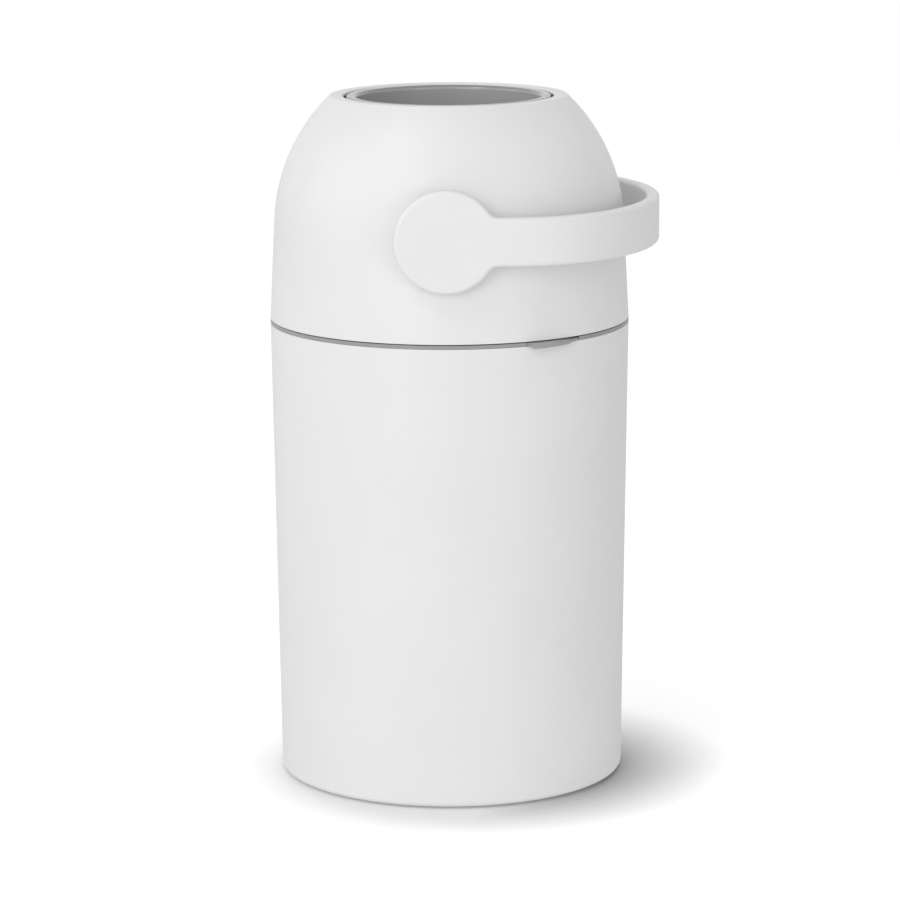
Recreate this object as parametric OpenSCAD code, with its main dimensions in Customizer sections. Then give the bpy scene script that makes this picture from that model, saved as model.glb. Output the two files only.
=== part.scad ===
// Nappy bin with a turning barrel.
// The handle turns an open-ended barrel end over end inside the dome. A loose piston slides
// down the barrel under its own weight and drops the nappy through the lid into the bag.
// Millimetres. The origin is on the floor under the middle of the bin and +Z is up. The
// handle's pivot runs along Y, and the handle rests towards +X.

/* [Bin] */
// Outer radius of the bin at its rim
bin_rim_r = 140.6; // [130:0.1:155]
// How much smaller the bin's radius is at the floor than at the rim
bin_taper = 5; // [3:0.1:9]
// Height of the bin's rim above the floor
bin_h = 360.1; // [300:0.1:420]
// Wall of the bin
bin_wall = 2.8; // [2:0.1:3.4]
// Thickness of the bin's floor
bin_floor_t = 3.4; // [2.8:0.1:6]
// Rounding of the bin's bottom edge
bin_edge_r = 4; // [2:0.1:8]

/* [Foot ring] */
// How far the middle of the foot ring lies inside the bin's bottom edge
foot_inset = 16.4; // [14:0.1:40]
// Width of the foot ring
foot_w = 9; // [6:0.1:12]
// How far the foot ring lifts the bin off the floor
foot_proud = 1.5; // [1:0.1:3]
// Depth of the foot ring's groove in the floor
foot_seat = 1.6; // [1:0.1:2]

/* [Collar ring] */
// Height of the grey band that shows between bin and dome
collar_t = 3; // [2.4:0.1:4]
// Width of the collar's band, from the bin's rim to the hole for the bag ring
collar_band_w = 21.1; // [20:0.1:24]
// Thickness of the collar's skirts
collar_skirt_t = 2.5; // [2:0.1:3]
// Depth of the outer skirt, which clips inside the bin
collar_skirt_h = 16; // [14:0.1:24]
// How far down the ledge for the bag ring lies below the rim
ledge_drop = 12.2; // [12:0.1:16]
// Width of the ledge
ledge_w = 8.5; // [6:0.1:12]
// How far the collar's bead clicks into the bin's groove
snap_depth = 0.8; // [0.5:0.1:1.2]

/* [Bag ring] */
// How far the bag ring's throat lies inside the collar
bag_throat_in = 12.8; // [11:0.1:16]
// Wall of the bag ring
bag_ring_t = 2.4; // [2:0.1:3]
// Depth of the throat that the bag is drawn over
bag_throat_h = 28; // [15:0.5:40]

/* [Dome] */
// Open seam between the collar and the dome
seam_gap = 0.8; // [0.6:0.1:1.6]
// Height of the dome
dome_h = 173.5; // [165:0.5:190]
// Wall of the dome
dome_wall = 2.6; // [2:0.1:2.9]
// Draft of the dome's straight wall, in degrees
dome_draft = 2.95; // [2.2:0.01:3.3]
// Height of the straight wall, where the round of the dome starts
dome_straight_h = 77.5; // [70:0.1:85]
// How far the opening at the top lies inside the bin's rim
opening_inset = 58.4; // [57:0.1:64]
// Width of the dome's level edge round the opening, outside its bevel
top_land = 9.2; // [6:0.1:16]
// Depth of the handle's pivot below the top of the dome
pivot_down = 95.1; // [88:0.1:100]

/* [Cradle] */
// Thickness of the cradle that closes the dome from below
cradle_t = 2.5; // [2:0.1:3.5]
// Space between the barrel's sweep and the cradle's bowl
sweep_gap = 2.5; // [2:0.1:4]
// How much wider than the barrel's rim the hole is that the nappy drops through
drop_over = 8.6; // [7:0.1:12]
// Number of screws that hold the cradle
cradle_screws_n = 6; // [4:1:8]
// Radius of a cradle screw's shank
cradle_screw_r = 1.8; // [1.5:0.1:2.2]
// Length of a cradle screw
cradle_screw_l = 14; // [10:0.5:20]

/* [Barrel] */
// Gap round the barrel's end in the opening
barrel_gap = 2.5; // [2:0.1:3.5]
// Wall of the barrel
barrel_wall = 2.6; // [2.2:0.1:3.2]
// How far the barrel's end lies below the top of the dome
barrel_recess = 0.4; // [0.3:0.1:4]
// Width of the rim at each end of the barrel
rim_w = 8; // [7:0.1:10]
// Thickness of the rim
rim_t = 4; // [3.6:0.1:6]
// Rounding of the rim's outer edge, which passes the mouth's edge as the barrel turns
rim_out_round = 1.5; // [1.3:0.1:2.4]
// Rounding of the rim's inner edge
rim_in_round = 3; // [1:0.1:3.4]
// Wall of the sleeve that runs down from the rim inside the barrel
sleeve_t = 2.2; // [1.8:0.1:3]
// Depth of the sleeve, where the piston stops
sleeve_h = 16; // [8:0.5:24]

/* [Piston] */
// Height of the piston
piston_h = 36; // [30:0.5:50]
// Wall of the hollow piston
piston_wall = 2.6; // [2:0.1:4]
// Gap between the piston and the barrel
piston_gap = 0.8; // [0.6:0.1:1.2]
// Height of a lip seal
seal_h = 4.2; // [3:0.1:6]
// Depth of a lip seal's groove
seal_depth = 3.6; // [3:0.1:5]

/* [Handle] */
// Radius of the round end of the handle
disc_r = 39; // [34:0.5:42]
// Height of the handle's strap
strap_h = 36.5; // [28:0.5:40]
// Thickness of the handle
handle_t = 10; // [8:0.1:12]
// Rounding of the handle's long edges
handle_edge_r = 3; // [1.5:0.1:3.5]
// Hollow radius where the strap runs into the round end
strap_fillet_r = 10; // [6:0.5:14]
// Gap between the round end and the dome at its lowest point
handle_gap = 1.4; // [1:0.1:3]
// How far the strap runs straight on from the hollow before it bends round the dome
handle_flat = 5; // [2:0.5:12]
// Room for fingers between the strap and the dome's wall
handle_room = 16.6; // [12:0.1:24]

/* [Pivot] */
// Outer radius of a pivot shaft
shaft_r = 18; // [16:0.1:19]
// Bore of a pivot shaft
shaft_bore_r = 12; // [10:0.1:13]
// Wall of a pivot bush
bush_wall = 3; // [2:0.1:3.4]
// Wall of the sockets in the barrel and of the bosses in the dome
boss_wall = 3.5; // [3:0.1:5]
// Length of the shaft's seat in the barrel
shaft_seat = 19; // [15:0.5:20]
// Length of the handle's spigot in the shaft
spigot_l = 22; // [16:0.5:24]
// Radius of the long handle screw's shank
handle_screw_r = 2.5; // [2:0.1:3]

/* [Release tab] */
// Direction of the tab from the middle of the handle's round end, in degrees
tab_azimuth = 35.5; // [25:0.5:60]
// Width of the tab where it leaves the collar
tab_w = 48; // [44:0.5:58]
// How far the tab's blunt end stands out of the collar
tab_reach = 8.8; // [6:0.1:11]
// Radius of the tab's front edge, which curves back to the collar at the tab's other end
tab_curve_r = 80; // [60:1:110]
// How far the tab can be pressed in
tab_travel = 3; // [2:0.1:3.2]
// Width of the catch on the lid
catch_w = 18; // [12:0.5:22]
// Outer radius of a release spring
spring_r = 2; // [1.6:0.1:2.2]
// Wire radius of a release spring
spring_wire_r = 0.35; // [0.25:0.05:0.45]
// Turns of a release spring
spring_turns = 4; // [3:1:5]

/* [Hinge] */
// Radius of the hinge pin
pin_r = 2; // [1.5:0.1:2.5]
// Outer radius of the hinge knuckles
knuckle_r = 5; // [4.2:0.1:5.2]
// How far the pin lies outside the rim
hinge_out = 6.4; // [6.2:0.1:8]
// Width of the dome's middle knuckle
knuckle_mid_w = 24; // [16:0.5:30]
// Width of each knuckle on the collar
knuckle_side_w = 16; // [10:0.5:20]

/* [Fits] */
// Radial gap of a shaft that runs in its bore
run_gap = 0.1; // [0.06:0.01:0.1]
// Gap between pieces that are seated or pressed together
seat_gap = 0.1; // [0.05:0.01:0.15]
// Gap between pieces that slide past each other
slide_gap = 0.3; // [0.25:0.05:0.5]

/* [Hidden] */
$fn = 96;
over = 1;  // how far a cut runs past the face that it opens

// Heights of the stack, from the floor up
seam_z = bin_h + collar_t + seam_gap;
dome_top_z = seam_z + dome_h;
pivot_z = dome_top_z - pivot_down;

// Radii that follow the bin's rim
bin_bottom_r = bin_rim_r - bin_taper;
foot_r = bin_bottom_r - foot_inset;
collar_in_r = bin_rim_r - collar_band_w;
bag_throat_r = collar_in_r - bag_throat_in;
opening_r = bin_rim_r - opening_inset;

// How much the bin widens for each millimetre of height
bin_flare = (bin_rim_r - bin_bottom_r) / bin_h;

// The dome's wall, and the round that runs on from it to the level edge at the top
mouth_bevel = 1;
arc_start_r = bin_rim_r - dome_straight_h * tan(dome_draft);
arc_run = arc_start_r - opening_r - mouth_bevel - top_land;
arc_rise = dome_h - dome_straight_h;
dome_arc_r = (pow(arc_run, 2) + pow(arc_rise, 2))
    / (2 * (arc_run * cos(dome_draft) - arc_rise * sin(dome_draft)));
arc_centre_r = arc_start_r - dome_arc_r * cos(dome_draft);
arc_centre_z = seam_z + dome_straight_h - dome_arc_r * sin(dome_draft);
function dome_r(z) = bin_rim_r - (z - seam_z) * tan(dome_draft);
function dome_round_in_r(z) =
    arc_centre_r + sqrt(pow(dome_arc_r - dome_wall, 2) - pow(z - arc_centre_z, 2));

// The barrel, measured from the pivot, and the ball that its corners sweep
barrel_r = opening_r - barrel_gap;
barrel_half = dome_top_z - barrel_recess - pivot_z;
tube_half = barrel_half - rim_t;
bore_r = barrel_r - barrel_wall;
rim_in_r = barrel_r - rim_w;
sweep_r = norm([barrel_r - rim_out_round, barrel_half - rim_out_round]) + rim_out_round;
bowl_r = sweep_r + sweep_gap;
drop_r = rim_in_r + drop_over;
wiper_gap = 0.5;  // rubber wipers stand this far off the barrel's sweep

// The cradle and the bosses that it is screwed to
cradle_z = seam_z + 1;
cradle_top_z = cradle_z + cradle_t;
cradle_r = dome_r(cradle_top_z) - dome_wall - slide_gap;
screw_boss_r = 4.6;
screw_boss_h = 18;
screw_circle_r = dome_r(cradle_top_z) - dome_wall - screw_boss_r + 0.4;
screw_pitch = 360 / cradle_screws_n;
screw_first = tab_azimuth - 90 + screw_pitch / 2;  // keeps the catch midway between two screws

// The pivot, measured along Y from the middle of the bin
disc_in_y = dome_r(pivot_z - disc_r) + handle_gap;
disc_out_y = disc_in_y + handle_t;
bush_r = shaft_r + bush_wall;
bush_flange_t = 2;
bush_flange_r = bush_r + 2;
boss_r = bush_r + boss_wall;
bush_out_y = disc_in_y - 0.9;
bush_in_y = sweep_r + 2;
socket_floor_y = barrel_r + 6;
shaft_in_y = socket_floor_y + seat_gap;
shaft_end_t = 4;
socket_r = shaft_r + boss_wall;
key_w = 5;
key_h = 2;
trunnion_r = socket_r + key_h;
stop_t = 3.2;  // thickness of the turn stop and of the barrel's lug
stop_lug_angle = 28;
stop_play = 1;  // degrees left between lug and stop at each end of the turn
handle_screw_head_r = 2 * handle_screw_r;
handle_screw_head_h = 3;
handle_screw_grip = 12;  // thread in the handle's spigot
head_in_y = bore_r + 0.4;  // the screw's head lies this far below the barrel's bore

// The bag ring and the ledge that it rests on
ledge_z = bin_h - ledge_drop;
bag_flange_r = collar_in_r - 1;
bag_flange_t = 2.4;

// The release tab, measured towards the front from the middle of the bin
tab_chord_y = sqrt(pow(bin_rim_r, 2) - pow(tab_w / 2, 2));
tab_chord_l = norm([tab_w, tab_reach]);
tab_centre_back = sqrt(pow(tab_curve_r, 2) - pow(tab_chord_l / 2, 2));
tab_centre_x = -tab_centre_back * tab_reach / tab_chord_l;
tab_centre_y = tab_chord_y + tab_reach / 2 - tab_centre_back * tab_w / tab_chord_l;
tab_z = bin_h + slide_gap;
tab_top_z = bin_h + collar_t - 0.1;
tab_hang = 1.1;  // the finger edge turns down by this much
skirt_out_r = bin_rim_r - bin_wall - bin_flare * collar_skirt_h - seat_gap;
guide_in_y = collar_in_r + collar_skirt_t + slide_gap;
guide_out_y = skirt_out_r - collar_skirt_t - 1.8;
guide_half_w = tab_w / 2 + 7.5;
tab_in_y = guide_in_y + tab_travel + 0.2;
tab_bar_t = 2.6;
window_in_y = tab_in_y + tab_bar_t;
catch_t = 2;
catch_nose = 1.7;
catch_stem_y = window_in_y + slide_gap + catch_nose;
window_out_y = catch_stem_y + catch_t + tab_travel + 0.5;
catch_drop = 3;
spring_x = catch_w / 2 + 9;
spring_z = bin_h - spring_r - 0.2;
spring_seat_y = guide_in_y + 2;
spring_lug_y = guide_out_y - 2;
guide_h = 7;
guide_screw_x = tab_w / 2 + 4.4;
guide_screw_r = 1.2;
guide_screw_l = 8;
guide_screw_y = (guide_in_y + sqrt(pow(guide_out_y, 2) - pow(guide_screw_x, 2))) / 2;

// The hinge, opposite the tab
hinge_y = bin_rim_r + hinge_out;
hinge_z = bin_h + collar_t / 2;
pin_l = knuckle_mid_w + 2 * (knuckle_side_w + slide_gap);

// The piston's stops and its lip seals
piston_r = bore_r - piston_gap;
piston_low = pivot_z - tube_half + sleeve_h + slide_gap;
groove_at = 4.6;  // from each face of the piston to its seal groove

WHITE = [0.91, 0.91, 0.91];
GREY = [0.55, 0.55, 0.56];
PALE = [0.78, 0.78, 0.79];
DARK = [0.25, 0.25, 0.26];
STEEL = [0.75, 0.76, 0.78];

// ---- shared shapes ----

// Points along an arc about [cx, cz], in equal steps from angle a0 to a1
function arc(cx, cz, r, a0, a1, steps) =
    [for (i = [0 : steps]) let (a = a0 + (a1 - a0) * i / steps) [cx + r * cos(a), cz + r * sin(a)]];

// Turns what is drawn for the front (-Y) to the front pivot or, mirrored, to the back one
module at_side(back) {
    mirror([0, back ? 1 : 0, 0]) children();
}

// A cylinder that lies along -Y from y0 to y1 at the pivot's height
module pivot_rod(r, y0, y1) {
    translate([0, -y0, pivot_z]) rotate([90, 0, 0]) cylinder(r = r, h = y1 - y0);
}

// A sector of a ring about the pivot, from angle a0 to a1 measured from +X towards +Z
module pivot_sector(r_in, r_out, y0, y1, a0, a1) {
    translate([0, -y0, pivot_z]) rotate([90, 0, 0]) linear_extrude(y1 - y0)
        polygon(concat(arc(0, 0, r_in, a0, a1, 24), arc(0, 0, r_out, a1, a0, 24)));
}

// A ring of rectangular section
module ring(r_in, r_out, z0, z1) {
    translate([0, 0, z0]) difference() {
        cylinder(r = r_out, h = z1 - z0);
        translate([0, 0, -over]) cylinder(r = r_in, h = z1 - z0 + 2 * over);
    }
}

// A countersunk screw that points down from z, its head's face at z
module countersunk(x, y, z, r, l) {
    head_h = 1.1 * r;
    translate([x, y, z - head_h]) cylinder(r1 = r, r2 = 2 * r, h = head_h);
    translate([x, y, z - l]) cylinder(r = r, h = l - head_h);
}

// ---- base ----

// The bin: a tall, slightly flared bucket with a groove for the collar's bead
module base_bin() {
    z0 = foot_proud;
    side_low_r = bin_bottom_r + bin_flare * (z0 + bin_edge_r);
    in_r = bin_edge_r + 2;
    floor_z = z0 + bin_floor_t;
    wall_low_r = bin_bottom_r + bin_flare * (floor_z + in_r) - bin_wall;
    groove_z = bin_h - collar_skirt_h + 3;
    inner_rim_r = bin_rim_r - bin_wall;
    bead_room = 0.7;
    color(WHITE) difference() {
        rotate_extrude() polygon(concat(
            [[0, z0]],
            arc(side_low_r - bin_edge_r, z0 + bin_edge_r, bin_edge_r, -90, 0, 8),
            [[bin_rim_r, bin_h], [inner_rim_r, bin_h]],
            arc(wall_low_r - in_r, floor_z + in_r, in_r, 0, -90, 8),
            [[0, floor_z]]));
        ring(foot_r - foot_w / 2 - seat_gap, foot_r + foot_w / 2 + seat_gap,
             z0 - over, z0 + foot_seat);
        translate([0, 0, groove_z]) rotate_extrude() polygon([
            [inner_rim_r - over, -bead_room], [inner_rim_r + snap_depth + seat_gap, 0.9],
            [inner_rim_r + snap_depth + seat_gap, 2.1], [inner_rim_r - over, 3 + bead_room]]);
    }
}

// The rubber ring that the bin stands on
module foot_ring() {
    lip = 0.6;
    color(DARK) rotate_extrude() polygon([
        [foot_r - foot_w / 2, foot_proud + foot_seat], [foot_r - foot_w / 2, lip],
        [foot_r - foot_w / 2 + lip, 0], [foot_r + foot_w / 2 - lip, 0],
        [foot_r + foot_w / 2, lip], [foot_r + foot_w / 2, foot_proud + foot_seat]]);
}

// The grey collar: a band on the bin's rim, an outer skirt that clips into the bin, an
// inner skirt with the bag ring's ledge, and the two outer knuckles of the hinge
module collar_ring() {
    z1 = bin_h + collar_t;
    edge = 0.4;
    bead_z = bin_h - collar_skirt_h + 3;
    skirt_in_r = skirt_out_r - collar_skirt_t;
    inner_out_r = collar_in_r + collar_skirt_t;
    ledge_in_r = collar_in_r - ledge_w;
    color(GREY) difference() {
        union() {
            rotate_extrude() polygon([
                [bin_rim_r, bin_h + edge], [bin_rim_r, z1 - edge], [bin_rim_r - edge, z1],
                [collar_in_r + edge, z1], [collar_in_r, z1 - edge], [collar_in_r, ledge_z],
                [ledge_in_r, ledge_z], [ledge_in_r, ledge_z - collar_skirt_t],
                [inner_out_r, ledge_z - collar_skirt_t], [inner_out_r, bin_h],
                [skirt_in_r, bin_h], [skirt_in_r, bin_h - collar_skirt_h],
                [skirt_out_r - 0.6, bin_h - collar_skirt_h],
                [skirt_out_r, bin_h - collar_skirt_h + 1], [skirt_out_r, bead_z],
                [skirt_out_r + snap_depth, bead_z + 1], [skirt_out_r + snap_depth, bead_z + 2],
                [skirt_out_r, bead_z + 3], [skirt_out_r, bin_h], [bin_rim_r - edge, bin_h]]);
            rotate([0, 0, tab_azimuth]) for (side = [-1, 1])
                translate([side * (knuckle_mid_w + knuckle_side_w + 2 * slide_gap) / 2, 0, 0])
                    collar_knuckle();
        }
        rotate([0, 0, tab_azimuth]) {
            tab_notch();
            for (side = [-1, 1])
                translate([side * guide_screw_x, -guide_screw_y, 0]) countersunk_hole();
            translate([-pin_l / 2 - over, hinge_y, hinge_z]) rotate([0, 90, 0])
                cylinder(r = pin_r + seat_gap, h = pin_l + 2 * over);
        }
    }
}

// One of the collar's knuckles, with the web that carries it
module collar_knuckle() {
    translate([-knuckle_side_w / 2, hinge_y, hinge_z]) rotate([0, 90, 0])
        cylinder(r = knuckle_r, h = knuckle_side_w);
    translate([-knuckle_side_w / 2, bin_rim_r - collar_skirt_t - 3, bin_h])
        cube([knuckle_side_w, hinge_out + collar_skirt_t + 3, collar_t]);
}

// The gap in the collar's band that the release tab slides in, with a groove each side
module tab_notch() {
    reach = 40;
    in_y = collar_in_r + collar_skirt_t;
    translate([-tab_w / 2 - slide_gap, -in_y - reach, bin_h])
        cube([tab_w + 2 * slide_gap, reach, collar_t + over]);
    translate([-tab_w / 2 - 2 - slide_gap, -guide_out_y, bin_h - 0.2])
        cube([tab_w + 4 + 2 * slide_gap, guide_out_y - in_y, 1.8]);
}

// The hole for a guide screw, with its countersink in the collar's top face
module countersunk_hole() {
    z1 = bin_h + collar_t;
    head_h = 1.1 * guide_screw_r + 0.1;
    translate([0, 0, bin_h - over]) cylinder(r = guide_screw_r + seat_gap, h = collar_t + 2 * over);
    translate([0, 0, z1 - head_h])
        cylinder(r1 = guide_screw_r + seat_gap, r2 = 2 * guide_screw_r + 2 * seat_gap, h = head_h);
    translate([0, 0, z1 - 0.01]) cylinder(r = 2 * guide_screw_r + 2 * seat_gap, h = over);
}

// The ring that the bag's mouth is folded over
module bag_ring() {
    throat_out_r = bag_throat_r + bag_ring_t;
    color(WHITE) rotate_extrude() polygon([
        [bag_throat_r + 0.8, ledge_z + bag_flange_t], [bag_flange_r - 0.6, ledge_z + bag_flange_t],
        [bag_flange_r, ledge_z + bag_flange_t - 0.6], [bag_flange_r, ledge_z],
        [throat_out_r, ledge_z], [throat_out_r - 0.6, ledge_z + bag_flange_t - bag_throat_h],
        [bag_throat_r, ledge_z + bag_flange_t - bag_throat_h],
        [bag_throat_r, ledge_z + bag_flange_t - 0.8]]);
}

// The block under the collar's band that holds the tab and its springs
module latch_guide() {
    wall = 2;
    pocket_y = guide_out_y - spring_seat_y;
    color(GREY) rotate([0, 0, tab_azimuth]) difference() {
        intersection() {
            translate([-guide_half_w, -guide_out_y - 10, bin_h - guide_h])
                cube([2 * guide_half_w, guide_out_y - guide_in_y + 10, guide_h]);
            ring(guide_in_y, guide_out_y, bin_h - guide_h - over, bin_h + over);
        }
        translate([-catch_w / 2 - 1, -guide_out_y - over, bin_h - guide_h + wall])
            cube([catch_w + 2, guide_out_y - window_in_y + tab_bar_t + over, guide_h]);
        for (side = [-1, 1]) {
            translate([side * spring_x - spring_r - 0.6, -guide_out_y - over, spring_z - spring_r - 0.6])
                cube([2 * spring_r + 1.2, pocket_y + over, guide_h]);
            translate([side * guide_screw_x, -guide_screw_y, bin_h - guide_h - over])
                cylinder(r = guide_screw_r + seat_gap / 2, h = guide_h + 2 * over);
        }
    }
}

// The two screws that hold the guide to the collar
module guide_screws() {
    color(STEEL) rotate([0, 0, tab_azimuth]) for (side = [-1, 1])
        countersunk(side * guide_screw_x, -guide_screw_y, bin_h + collar_t - 0.1, guide_screw_r,
            guide_screw_l);
}

// The hinge pin, a plain steel rod
module hinge_pin() {
    color(STEEL) rotate([0, 0, tab_azimuth])
        translate([-pin_l / 2, hinge_y, hinge_z]) rotate([0, 90, 0]) cylinder(r = pin_r, h = pin_l);
}

// The release tab: a finger lip that stands out most at its blunt end, with a plate behind
// it that slides in the collar's notch and has the window that the lid's catch drops through
module release_tab() {
    slope = 5;
    round_r = 0.9;
    lug_w = 2 * spring_r;
    color(GREY) rotate([0, 0, tab_azimuth]) difference() {
        union() {
            intersection() {
                translate([tab_centre_x, -tab_centre_y, 0]) rotate_extrude() polygon(concat(
                    [[0, tab_z], [tab_curve_r - 2.9, tab_z], [tab_curve_r - 2.3, tab_z - tab_hang]],
                    arc(tab_curve_r - round_r, tab_z - tab_hang + round_r, round_r, -90, 0, 6),
                    [[tab_curve_r - 0.1, tab_top_z - 1.2], [tab_curve_r - 0.6, tab_top_z - 0.8],
                     [tab_curve_r - slope, tab_top_z], [0, tab_top_z]]));
                translate([-tab_w / 2, -bin_rim_r - tab_reach - over, tab_z - tab_hang - over])
                    cube([tab_w, bin_rim_r + tab_reach + over - tab_in_y, tab_hang + collar_t + 2 * over]);
            }
            // tongues that keep the plate down in the collar's grooves
            translate([-tab_w / 2 - 2, -guide_out_y + slide_gap + 1, tab_z])
                cube([tab_w + 4, guide_out_y - tab_in_y - slide_gap - 1, 1.1]);
            // lugs that the springs push on
            for (side = [-1, 1])
                translate([side * spring_x - lug_w / 2, -guide_out_y, spring_z - spring_r])
                    cube([lug_w, guide_out_y - spring_lug_y, tab_z - spring_z + spring_r + 0.5]);
        }
        translate([-catch_w / 2 - 0.6, -window_out_y, tab_z - over])
            cube([catch_w + 1.2, window_out_y - window_in_y, tab_top_z - tab_z + 2 * over]);
        // the turned-down edge stays clear of the bin's wall when the tab is pressed in
        translate([0, 0, tab_z - tab_hang - over]) difference() {
            translate([0, -tab_travel, 0]) cylinder(r = bin_rim_r + slide_gap, h = tab_hang + over);
            translate([-bin_rim_r, -guide_out_y - 0.05, -over])
                cube([2 * bin_rim_r, 2 * bin_rim_r, tab_hang + 3 * over]);
        }
    }
}

// One coil spring along -Y, as a swept tube with flat ends
module coil_spring(l) {
    sides = 6;
    rings = 12 * spring_turns;
    mean_r = spring_r - spring_wire_r;
    pitch_l = l - 2 * spring_wire_r;
    points = [for (i = [0 : rings]) let (a = 360 * spring_turns * i / rings)
        for (k = [0 : sides - 1]) let (b = 360 * k / sides, r = mean_r + spring_wire_r * cos(b))
            [r * cos(a), -spring_wire_r - pitch_l * i / rings - spring_wire_r * sin(b), r * sin(a)]];
    walls = [for (i = [0 : rings - 1]) for (k = [0 : sides - 1])
        let (a = i * sides + k, b = i * sides + (k + 1) % sides)
            each [[a, a + sides, b], [b, a + sides, b + sides]]];
    start = [for (k = [1 : sides - 2]) [0, k, k + 1]];
    last = rings * sides;
    end = [for (k = [1 : sides - 2]) [last, last + k + 1, last + k]];
    polyhedron(points = points, faces = concat(walls, start, end));
}

// The two springs that push the tab out again
module release_spring() {
    color(STEEL) rotate([0, 0, tab_azimuth]) for (side = [-1, 1])
        translate([side * spring_x, -spring_seat_y, spring_z])
            coil_spring(spring_lug_y - spring_seat_y);
}

// ---- lid ----

// Half section of the dome's skin, moved inwards by inset
function dome_outline(inset) = concat(
    [[bin_rim_r - inset / cos(dome_draft), seam_z]],
    arc(arc_centre_r, arc_centre_z, dome_arc_r - inset, dome_draft,
        asin((dome_top_z - inset - arc_centre_z) / (dome_arc_r - inset)), 24));

// The white dome: one moulded shell with pivot bosses, screw bosses and the hinge arm
module dome_cover() {
    outer = dome_outline(0);
    inner = dome_outline(dome_wall);
    color(WHITE) difference() {
        union() {
            rotate_extrude() polygon(concat(
                outer,
                [[opening_r + mouth_bevel, dome_top_z], [opening_r, dome_top_z - mouth_bevel],
                 [opening_r, dome_top_z - dome_wall]],
                [for (i = [len(inner) - 1 : -1 : 0]) inner[i]]));
            for (back = [false, true]) at_side(back) pivot_rod(boss_r, bush_in_y, bush_out_y);
            turn_stop();
            for (i = [0 : cradle_screws_n - 1])
                rotate([0, 0, screw_first + screw_pitch * i])
                    translate([screw_circle_r, 0, cradle_top_z]) cylinder(r = screw_boss_r, h = screw_boss_h);
            rotate([0, 0, tab_azimuth]) hinge_arm();
        }
        for (back = [false, true]) at_side(back)
            pivot_rod(bush_r + seat_gap / 2, bush_in_y - over, bush_out_y + over);
        for (i = [0 : cradle_screws_n - 1])
            rotate([0, 0, screw_first + screw_pitch * i])
                translate([screw_circle_r, 0, cradle_top_z - over])
                    cylinder(r = cradle_screw_r, h = screw_boss_h + over - 2);
    }
}

// The stop in the back boss: the barrel's lug meets one end of it with the handle at rest
// and the other end after half a turn
module turn_stop() {
    free = stop_lug_angle / 2 + stop_play;
    at_side(true) pivot_sector(trunnion_r + slide_gap, trunnion_r + slide_gap + stop_t,
        shaft_in_y + shaft_seat - 6, bush_in_y + 4, -180 + free, -free);
}

// The dome's middle knuckle, with the arm that rises from it into the wall
// and the heel that meets the bin's wall when the lid is open
module hinge_arm() {
    arm_h = 16;
    inner_y = bin_rim_r - 0.8 * dome_wall;
    difference() {
        translate([-knuckle_mid_w / 2, 0, 0]) rotate([90, 0, 90]) linear_extrude(knuckle_mid_w) union() {
            translate([hinge_y, hinge_z]) circle(r = knuckle_r);
            polygon([
                [hinge_y - knuckle_r, hinge_z], [hinge_y + knuckle_r, hinge_z],
                [hinge_y + knuckle_r, seam_z + 2], [bin_rim_r + 1, seam_z + arm_h],
                [inner_y, seam_z + arm_h], [inner_y, seam_z + 0.2],
                [hinge_y - knuckle_r, seam_z + 0.2]]);
            translate([hinge_y, hinge_z]) polygon([
                [-1.5, -knuckle_r + 0.8], [1.2, -hinge_out], [3.5, -hinge_out + 0.9],
                [knuckle_r - 0.4, -1.5]]);
        }
        translate([-knuckle_mid_w / 2 - over, hinge_y, hinge_z]) rotate([0, 90, 0])
            cylinder(r = pin_r + run_gap, h = knuckle_mid_w + 2 * over);
    }
}

// The cradle: a plate that closes the dome, with a bowl round the barrel's lower end
module cradle() {
    out_r = bowl_r + cradle_t;
    hole_low = -acos(drop_r / bowl_r);
    hole_out = -acos(drop_r / out_r);
    plate_in = -asin((pivot_z - cradle_top_z) / bowl_r);
    plate_out = -asin((pivot_z - cradle_z) / out_r);
    color(GREY) difference() {
        rotate_extrude() polygon(concat(
            arc(0, pivot_z, bowl_r, plate_in, hole_low, 8),
            arc(0, pivot_z, out_r, hole_out, plate_out, 8),
            [[cradle_r, cradle_z], [cradle_r, cradle_top_z]]));
        for (i = [0 : cradle_screws_n - 1])
            rotate([0, 0, screw_first + screw_pitch * i])
                translate([screw_circle_r, 0, cradle_z]) mirror([0, 0, 1]) {
                    translate([0, 0, -cradle_t - over])
                        cylinder(r = cradle_screw_r + seat_gap, h = cradle_t + 2 * over);
                    translate([0, 0, -1.1 * cradle_screw_r - 0.1])
                        cylinder(r1 = cradle_screw_r + seat_gap, r2 = 2 * cradle_screw_r + 2 * seat_gap,
                                 h = 1.1 * cradle_screw_r + 0.1);
                }
        rotate([0, 0, tab_azimuth]) {
            translate([-catch_w / 2 - seat_gap, -catch_stem_y - catch_t - seat_gap, cradle_z - over])
                cube([catch_w + 2 * seat_gap, catch_t + 2 * seat_gap, cradle_t + 2 * over]);
            for (side = [-1, 1])
                translate([side * catch_w / 2.6, -catch_stem_y + 4, cradle_z - over])
                    cylinder(r = guide_screw_r + seat_gap / 2, h = cradle_t + 2 * over);
        }
    }
}

// The screws that hold the cradle up against the dome's bosses
module cradle_screws() {
    color(STEEL) for (i = [0 : cradle_screws_n - 1])
        rotate([0, 0, screw_first + screw_pitch * i])
            translate([0, 0, 2 * cradle_z + 0.1]) mirror([0, 0, 1])
                countersunk(screw_circle_r, 0, cradle_z, cradle_screw_r - seat_gap / 2, cradle_screw_l);
}

// The rubber gasket under the cradle, which meets the collar when the lid is shut
module lid_gasket() {
    z0 = bin_h + collar_t + slide_gap;
    r0 = collar_in_r + 0.4;
    r1 = collar_in_r + collar_skirt_t - 0.2;
    color(DARK) rotate_extrude() polygon([
        [r0 + 0.4, z0], [r1 - 0.4, z0], [r1, z0 + 0.5], [r1, cradle_z], [r0, cradle_z], [r0, z0 + 0.5]]);
}

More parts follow.
